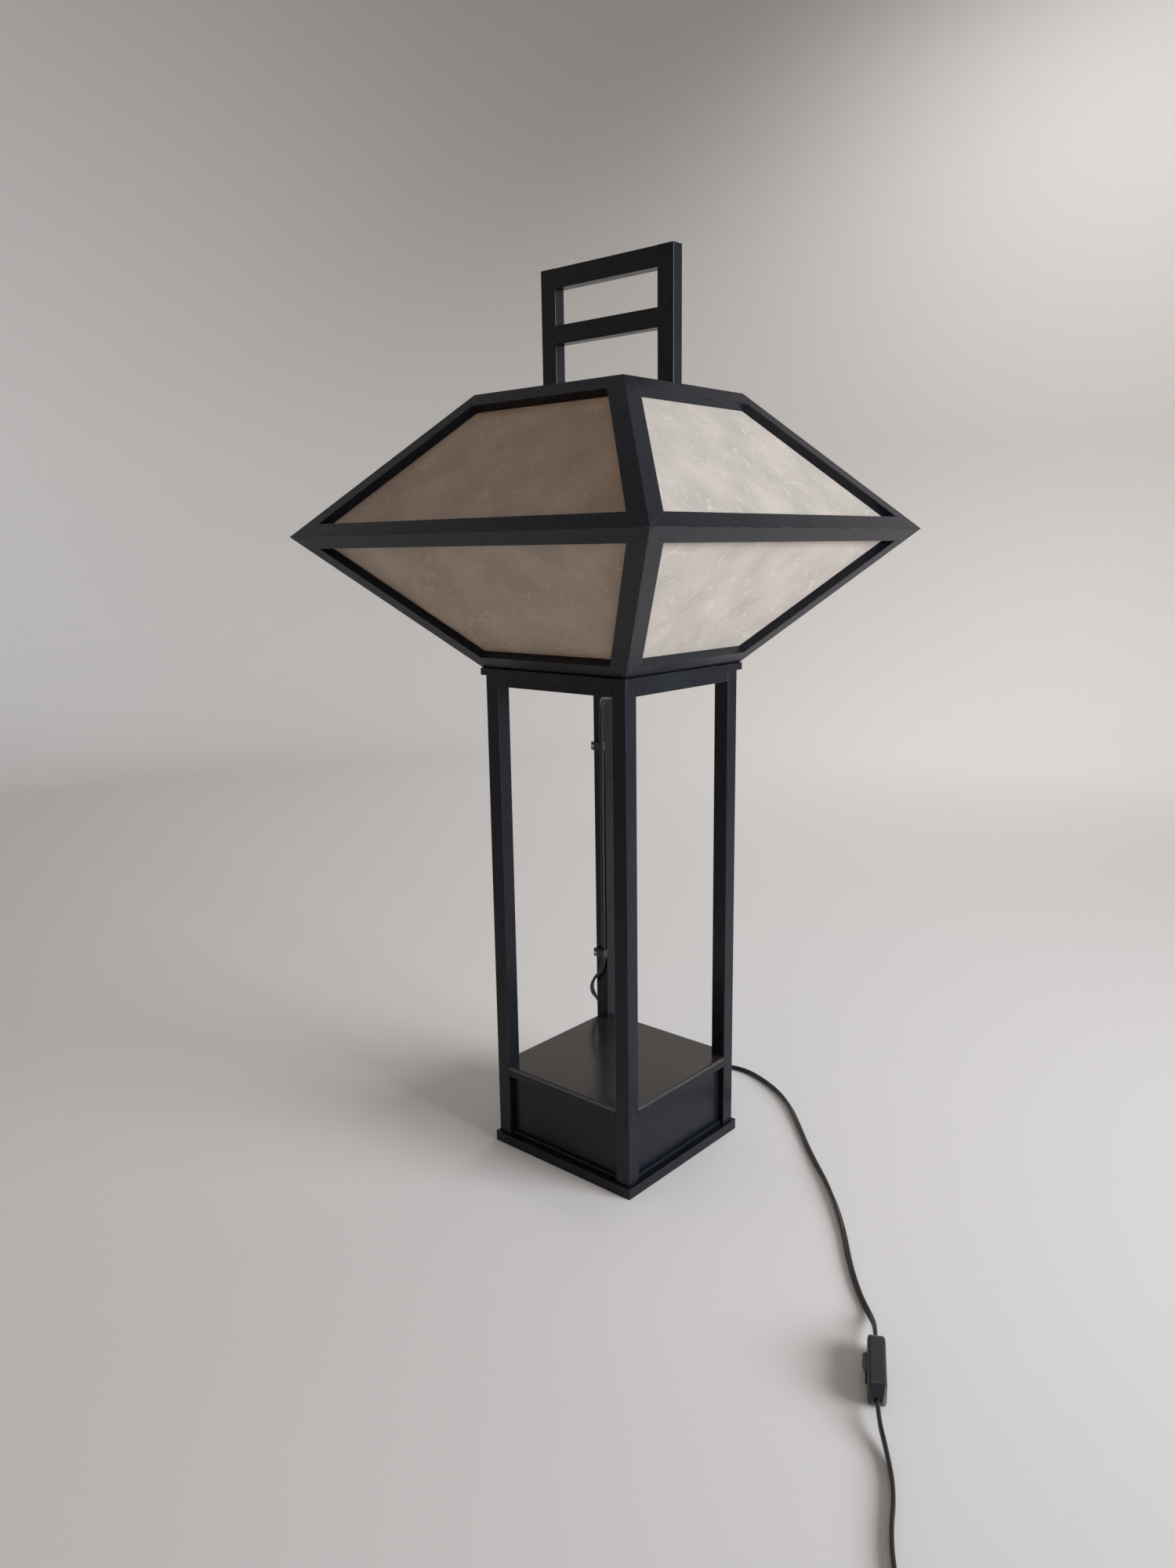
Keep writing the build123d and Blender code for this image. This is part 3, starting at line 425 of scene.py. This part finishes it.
def stage_paper(name):
    """Matt pale background paper."""
    material, tree = new_material(name)
    shader = add(
        tree,
        "BsdfPrincipled",
        {"Base Color": "#e6e3de", "Roughness": 0.9, "Specular IOR Level": 0.1},
    )
    add(tree, "OutputMaterial", {0: shader})
    return material


def smooth_line(points):
    """Points along the smooth line that the given points steer, as far apart as its steps make them."""
    curve = bpy.data.curves.new("line", "CURVE")
    curve.dimensions = "3D"
    curve.resolution_u = line_steps
    spline = curve.splines.new("NURBS")
    spline.points.add(len(points) - 1)
    for place, point in zip(spline.points, points):
        place.co = (*point, 1)
    spline.order_u = 3
    spline.use_endpoint_u = True
    spline.resolution_u = line_steps
    holder = bpy.data.objects.new("line", curve)
    mesh = bpy.data.meshes.new_from_object(holder)
    line = [vertex.co.copy() for vertex in mesh.vertices]
    bpy.data.objects.remove(holder)
    bpy.data.curves.remove(curve)
    bpy.data.meshes.remove(mesh)
    return line


def heading(angle):
    """Level direction at an angle from +X."""
    return Vector((math.cos(math.radians(angle)), math.sin(math.radians(angle)), 0))


def mesh_piece(name, points, faces, material, body="stand"):
    """A smooth mesh piece that rides on a body."""
    mesh = bpy.data.meshes.new(name)
    mesh.from_pydata(points, [], faces)
    mesh.polygons.foreach_set("use_smooth", [True] * len(mesh.polygons))
    mesh.materials.append(material)
    mesh.validate()
    mesh.update()
    piece = bpy.data.objects.new(name, mesh)
    scene.collection.objects.link(piece)
    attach(piece, body)
    return piece


def flex_profile():
    """Outline of the two cores in one sheath, and which of its points lie in the groove between them."""
    groove = math.acos(-core_offset / core_radius)
    outline = []
    for way in (1, -1):
        for i in range(core_points):
            angle = groove * (2 * i / core_points - 1)
            across = core_offset + core_radius * math.cos(angle)
            over = core_radius * math.sin(angle)
            outline.append((way * across * mm, way * over * mm))
    return outline, (0, core_points)


def flex_piece(name, route, material):
    """Flat twin flex along a route of points with a roll each: 0 lies flat, 90 stands on its edge."""
    line = smooth_line([Vector(stop[:3]) * mm for stop in route])
    rolls = [math.radians(place.x) for place in smooth_line([(stop[3], 0, 0) for stop in route])]
    outline, grooves = flex_profile()
    count = len(outline)
    points = []
    for i, place in enumerate(line):
        ahead = (line[min(i + 1, len(line) - 1)] - line[max(i - 1, 0)]).normalized()
        # The thin way points up on level runs and to the front on upright ones
        steep = abs(ahead.z) ** 4
        face = Vector((0, -steep, 1 - steep))
        side = ahead.cross(face).normalized()
        up = side.cross(ahead)
        wide = side * math.cos(rolls[i]) + up * math.sin(rolls[i])
        thin = up * math.cos(rolls[i]) - side * math.sin(rolls[i])
        points += [place + wide * across + thin * over for across, over in outline]
    faces = [
        (ring + i, ring + (i + 1) % count, ring + count + (i + 1) % count, ring + count + i)
        for ring in range(0, len(points) - count, count)
        for i in range(count)
    ]
    faces.append(tuple(reversed(range(count))))
    faces.append(tuple(range(len(points) - count, len(points))))
    piece = mesh_piece(name, points, faces, material)
    for edge in piece.data.edges:
        first, second = (corner % count for corner in edge.vertices)
        at_end = max(edge.vertices) < count or min(edge.vertices) >= len(points) - count
        edge.use_edge_sharp = at_end or (first == second and first in grooves)
    return piece, line


def on_floor(x, y, roll):
    """A stop of the flex's route where it lies on the floor at a roll."""
    height = core_radius + core_offset * abs(math.sin(math.radians(roll))) + floor_play
    return (x, y, height, roll)


# Riser: from the lampholder's terminals, under the top board, and straight down the post
riser_route = [
    (0, 0, stand_height + 0.5, 0),
    (0, 0, stand_height - 19.0, 0),
    (-15.0, 14.0, stand_height - 34.0, 0),
    (-36.0, 33.0, stand_height - 37.0, 0),
    (-57.0, 52.0, stand_height - 41.0, 0),
    (riser_x, riser_y, stand_height - 61.0, 0),
    (riser_x, riser_y, riser_end, 0),
]

# Free flex: a small loop behind the post, down to the floor, and twisting along it to the switch
switch_run = heading(switch_heading)
switch_near = switch_middle - switch_run * switch_length / 2
switch_far = switch_middle + switch_run * switch_length / 2
switch_route = [
    (riser_x, riser_y, riser_end, 0),
    (riser_x - 0.5, riser_y - 0.8, 138.0, 0),
    (-83.0, 61.5, 127.0, -10),
    (-96.0, 74.0, 105.0, -30),
    (-95.0, 93.0, 83.0, -45),
    (-80.0, 111.0, 56.0, -50),
    (-64.0, 127.0, 26.0, -55),
    on_floor(-42.0, 150.0, -60),
    on_floor(-18.0, 183.0, -60),
    on_floor(19.0, 201.0, -62),
    on_floor(63.0, 187.0, -80),
    on_floor(101.0, 164.0, -118),
    on_floor(133.0, 130.0, -190),
    on_floor(173.0, 86.0, -205),
    on_floor(221.0, 41.0, -290),
    on_floor(257.0, -3.0, -345),
    on_floor(285.0, -44.0, -372),
    on_floor(311.0, -76.0, -378),
    on_floor(330.0, -94.0, -400),
    (*(switch_near - switch_run * switch_lead), -360 - edge_on),
    (*(switch_near + switch_run * cord_grip), -360 - edge_on),
]

# Flex from the switch out of the picture's lower edge, into the coil and out of it to the plug
coil_run = heading(coil_heading)
coil_outer = coil_middle_diameter / 2 + coil_pitch * coil_turns / 4
coil_centre = coil_start + coil_run * coil_straight + heading(coil_heading + 90) * coil_outer
coil_floor = tie_thickness + tie_play + core_radius
coil_rise = 2 * core_radius + coil_layer_play


def coil_stop(swept):
    """Place of the coil's line after an angle swept: in along the floor, up a layer, and out again."""
    rate = coil_pitch / (2 * math.pi)
    turning = math.pi * coil_turns
    past = swept - turning
    half_band = math.pi / 2
    if abs(past) < half_band:
        step = (past + half_band) / (2 * half_band)
        reach = coil_outer - rate * (turning - half_band / 2) + rate * past**2 / (2 * half_band)
        lift = coil_rise * (3 * step**2 - 2 * step**3)
    else:
        reach = coil_outer - rate * (turning - abs(past))
        lift = coil_rise if past > 0 else 0.0
    place = coil_centre + heading(coil_heading - 90 + math.degrees(swept)) * reach
    return Vector((place.x, place.y, coil_floor + lift))


coil_count = round(coil_turns * coil_points_per_turn)
coil_stops = [coil_stop(2 * math.pi * coil_turns * i / coil_count) for i in range(coil_count + 1)]
leave_way = heading(coil_heading + 360 * coil_turns)
tail_start = coil_stops[-1]
plug_lift = Vector((0, 0, plug_axis_height - tail_start.z))
plug_route = [
    (*(switch_far - switch_run * cord_grip), edge_on),
    (*(switch_far + switch_run * switch_lead), edge_on),
    on_floor(401.0, -209.0, 90),
    on_floor(420.0, -236.0, 85),
    on_floor(433.0, -268.0, 88),
    on_floor(452.0, -298.0, 70),
    (*(coil_start - coil_run * coil_lead + Vector((0, 0, coil_floor))), 20),
    (*(coil_start + Vector((0, 0, coil_floor))), 0),
    *((*stop, 0) for stop in coil_stops),
    (*(tail_start + leave_way * tail_length * tail_level_share), 0),
    (*(tail_start + leave_way * tail_length * tail_risen_share + plug_lift), 0),
    (*(tail_start + leave_way * (tail_length + coil_straight + cord_grip) + plug_lift), 0),
]


def rounded_loop(half_width, half_height, corner):
    """Points round a rectangle with round corners."""
    loop = []
    for quarter, (sign_x, sign_y) in enumerate(((1, 1), (-1, 1), (-1, -1), (1, -1))):
        for i in range(tie_corner_points + 1):
            angle = math.radians(90 * (quarter + i / tie_corner_points))
            across = sign_x * (half_width - corner) + corner * math.cos(angle)
            over = sign_y * (half_height - corner) + corner * math.sin(angle)
            loop.append((across, over))
    return loop


def make_tie(material):
    """Strap round the coil's turns, with the head that it is pulled through and its free end."""
    out = heading(coil_heading - 90 + tie_turn)
    along = heading(coil_heading + tie_turn)
    up = Vector((0, 0, 1))
    inner_edge = coil_outer - coil_pitch * coil_turns / 2 - flex_width / 2 - tie_play
    outer_edge = coil_outer + flex_width / 2 + tie_play
    half_width = (outer_edge - inner_edge) / 2 + tie_thickness
    half_height = (coil_rise + 2 * core_radius) / 2 + tie_play + tie_thickness
    middle = coil_centre + out * (inner_edge + outer_edge) / 2 + up * half_height
    outside = rounded_loop(half_width, half_height, tie_round)
    inside = rounded_loop(half_width - tie_thickness, half_height - tie_thickness, tie_round - tie_thickness)
    points = []
    for end in (-1, 1):
        for loop in (outside, inside):
            points += [middle + out * a + up * b + along * end * tie_width / 2 for a, b in loop]
    count = len(outside)
    outer_near, inner_near, outer_far, inner_far = (count * ring for ring in range(4))
    faces = []
    for i in range(count):
        after = (i + 1) % count
        for first, second in (
            (outer_near, outer_far),
            (outer_far, inner_far),
            (inner_far, inner_near),
            (inner_near, outer_near),
        ):
            faces.append((first + i, first + after, second + after, second + i))
    piece = mesh_piece("coil_strap", [point * mm for point in points], faces, material)
    shell = bmesh.new()
    shell.from_mesh(piece.data)
    head_axes = Matrix((along, out, up)).transposed().to_4x4()
    top = middle + up * half_height
    head_length, head_width, head_height = tie_head
    blocks = (
        ((head_width, head_length, head_height), top + up * head_height / 2, tie_head_round),
        (
            (tie_width, tie_tail, tie_thickness),
            top + up * head_height * tie_slot_share + out * (head_length + tie_tail) / 2,
            tie_thickness / 3,
        ),
    )
    for size, place, rounding in blocks:
        shape = Matrix.Translation(place * mm) @ head_axes @ Matrix.Diagonal((*(Vector(size) * mm), 1))
        made = bmesh.ops.create_cube(shell, size=1.0, matrix=shape)
        edges = list({edge for vertex in made["verts"] for edge in vertex.link_edges})
        bmesh.ops.bevel(shell, geom=edges, offset=rounding * mm, segments=3, profile=0.5, affect="EDGES")
    bmesh.ops.recalc_face_normals(shell, faces=shell.faces)
    shell.to_mesh(piece.data)
    shell.free()
    piece.data.polygons.foreach_set("use_smooth", [True] * len(piece.data.polygons))
    for edge in piece.data.edges:
        ends = [piece.data.vertices[vertex].co for vertex in edge.vertices]
        in_band = max(edge.vertices) < 4 * count
        edge.use_edge_sharp = in_band and abs((ends[0] - ends[1]).normalized().dot(along)) < 0.5
    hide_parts("coil_tie")
    return piece


def finish_nodes(names, material):
    """Give CAD nodes their finish."""
    for name in names:
        for place in nodes[name].material_slots:
            place.material = material


def make_stage():
    """Round pale floor that curves up into a wall all round."""
    profile = [(0.0, 0.0), (floor_radius / 2, 0.0), (floor_radius, 0.0)]
    for i in range(1, cove_steps + 1):
        turn = math.radians(90 * i / cove_steps)
        profile.append((floor_radius + cove_radius * math.sin(turn), cove_radius * (1 - math.cos(turn))))
    profile.append((floor_radius + cove_radius, wall_top))
    points = [(0.0, 0.0, 0.0)]
    for reach, height in profile[1:]:
        ring = [heading(360 * i / stage_segments) * reach for i in range(stage_segments)]
        points += [Vector((place.x, place.y, height)) * mm for place in ring]
    faces = [(0, 1 + i, 1 + (i + 1) % stage_segments) for i in range(stage_segments)]
    for ring in range(len(profile) - 2):
        start = 1 + ring * stage_segments
        for i in range(stage_segments):
            after = (i + 1) % stage_segments
            above = start + stage_segments
            faces.append((start + i, above + i, above + after, start + after))
    mesh = bpy.data.meshes.new("stage")
    mesh.from_pydata(points, [], faces)
    mesh.polygons.foreach_set("use_smooth", [True] * len(mesh.polygons))
    mesh.materials.append(stage_paper("stage_paper"))
    stage = bpy.data.objects.new("stage", mesh)
    scene.collection.objects.link(stage)


def make_lamp(name, place, target, size, power, colour, spread):
    """Large soft lamp, out of the picture from every side."""
    light = bpy.data.lights.new(name, "AREA")
    light.shape = "RECTANGLE"
    light.size = size[0] * mm
    light.size_y = size[1] * mm
    light.energy = power
    light.spread = math.radians(spread)
    light.color = linear(colour)[:3]
    lamp = bpy.data.objects.new(name, light)
    aim = (Vector(target) - Vector(place)).to_track_quat("-Z", "Y")
    lamp.matrix_world = Matrix.Translation(Vector(place) * mm) @ aim.to_matrix().to_4x4()
    lamp.visible_camera = False
    scene.collection.objects.link(lamp)
    return lamp


def light_the_stage():
    """Soft daylight from the right, a faint warm fill in front, a wash behind, and an even surround."""
    make_lamp("key", key_place, lamp_target, key_size, key_power, key_colour, key_spread)
    fill = make_lamp("fill", fill_place, lamp_target, fill_size, fill_power, fill_colour, fill_spread)
    # The fill warms the paper and isn't mirrored in the paint
    fill.visible_glossy = False
    make_lamp("wash", wash_place, wash_target, wash_size, wash_power, wash_colour, wash_spread)
    world = bpy.data.worlds.new("surround")
    world.use_nodes = True
    tree = world.node_tree
    tree.nodes.clear()
    surround = add(tree, "Background", {0: surround_colour, 1: surround_strength})
    add(tree, "OutputWorld", {0: surround})
    scene.world = world


make_camera()

# Small parts: two close shades, a roughness, and the size and depth of the grit, or the size of the marks.
# Extruded PVC: a warm black with a long soft highlight
cord_sheath = moulded("pvc_flex_sheath", ("#1b1a1a", "#252423"), 0.36, 0.8, 0.02)
# Moulded nylon: a cool, finely pebbled black
black_plastic = moulded("black_moulded_nylon", ("#191a1e", "#232429"), 0.36, 0.5, 0.03)
# Pressed phenolic: a hard brownish black
thermoset = moulded("black_phenolic", ("#100f0f", "#191817"), 0.30, 0.6, 0.02)
# Black glass of the bulb's cap: smooth, almost wet
cap_glass = moulded("black_cap_glass", ("#0b0b0d", "#121214"), 0.15, 2.0, 0.01)
# Pressed brass: yellow with a soft lustre
brass = worked_metal("pressed_brass", ("#c9a45a", "#d8b973"), 0.32, 0.6)
# Zinc plate: a greyish, slightly dull white metal
zinc_steel = worked_metal("zinc_plated_steel", ("#a9abad", "#bfc1c3"), 0.36, 0.6)
# Nickel plate: bright and faintly warm
nickel = worked_metal("nickel_plate", ("#c3c0b8", "#d2cfc8"), 0.20, 0.6)
# Rolled aluminium: pale and clear
aluminium = worked_metal("rolled_aluminium", ("#c4c6c8", "#d5d7d9"), 0.28, 0.5)

# Flex, in its three stretches
riser, _ = flex_piece("flex_on_post", riser_route, cord_sheath)
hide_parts("riser_cable")

to_switch, switch_line = flex_piece("flex_to_switch", switch_route, cord_sheath)
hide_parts("cord_to_switch")

strap = make_tie(black_plastic)
to_plug, plug_line = flex_piece("flex_to_plug", plug_route, cord_sheath)
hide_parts("cord_to_coil", "cord_coil")

# Painted wood, with the brush marks along each stick
upright_paint = black_satin_paint("black_paint_upright", "upright", **stick_coat)
square_paint = black_satin_paint("black_paint_square", "round the square", **stick_coat)
corner_paint = black_satin_paint("black_paint_corner", "corner", **stick_coat)
rail_paint = black_satin_paint("black_paint_rail", "level x", **stick_coat)
panel_paint = black_satin_paint("black_paint_panel", "round the square", **panel_coat)
# The shelf's paint has a lighter, warmer film: a painted reflection of the pale wall in its top
shelf_paint_painted_reflection = black_satin_paint("black_paint_shelf_painted_reflection", "level x", **shelf_coat_painted_reflection)
finish_nodes([f"stand_post_{corner}" for corner in corners], upright_paint)
finish_nodes(["handle_post_left", "handle_post_right"], upright_paint)
finish_nodes([f"base_panel_{side}" for side in sides], panel_paint)
finish_nodes(["base_beads", "shelf_rails", "stand_top_rails", "shade_cleats"], square_paint)
finish_nodes(["base_board", "stand_top_board"], square_paint)
finish_nodes(["shade_top_rails", "shade_middle_rails", "shade_bottom_rails"], square_paint)
finish_nodes(["shade_upper_hips", "shade_lower_hips"], corner_paint)
finish_nodes(["handle_top_rail", "handle_middle_rail"], rail_paint)
finish_nodes(["shelf_board"], shelf_paint_painted_reflection)

# Papers, each a sheet of its own
for level, sheets in enumerate(("upper", "lower")):
    for number, side in enumerate(sides):
        paper = fibre_paper(f"mulberry_{sheets}_{side}", side, 4 * level + number + 1)
        finish_nodes([f"paper_{sheets}_{side}"], paper)

# Fittings
finish_nodes(["lampholder_base", "lampholder_shell"], thermoset)
finish_nodes(["lampholder_thread", "lampholder_contact", "lampholder_terminals"], brass)
finish_nodes(["bulb_contact", "switch_contacts"], brass)
finish_nodes(["switch_front_shell", "switch_back_shell", "switch_rocker"], black_plastic)
finish_nodes(["plug_body", "cable_clips"], black_plastic)
finish_nodes(["stand_screws", "handle_screws", "lampholder_screws"], zinc_steel)
finish_nodes(["switch_screws", "clip_nails"], zinc_steel)
finish_nodes(["plug_pins"], nickel)
finish_nodes(["bulb_cap"], aluminium)
finish_nodes(["bulb_insulator"], cap_glass)
finish_nodes(["bulb_glass"], opal_glass("opal_glass"))

make_stage()
light_the_stage()
scene.view_settings.view_transform = "Standard"
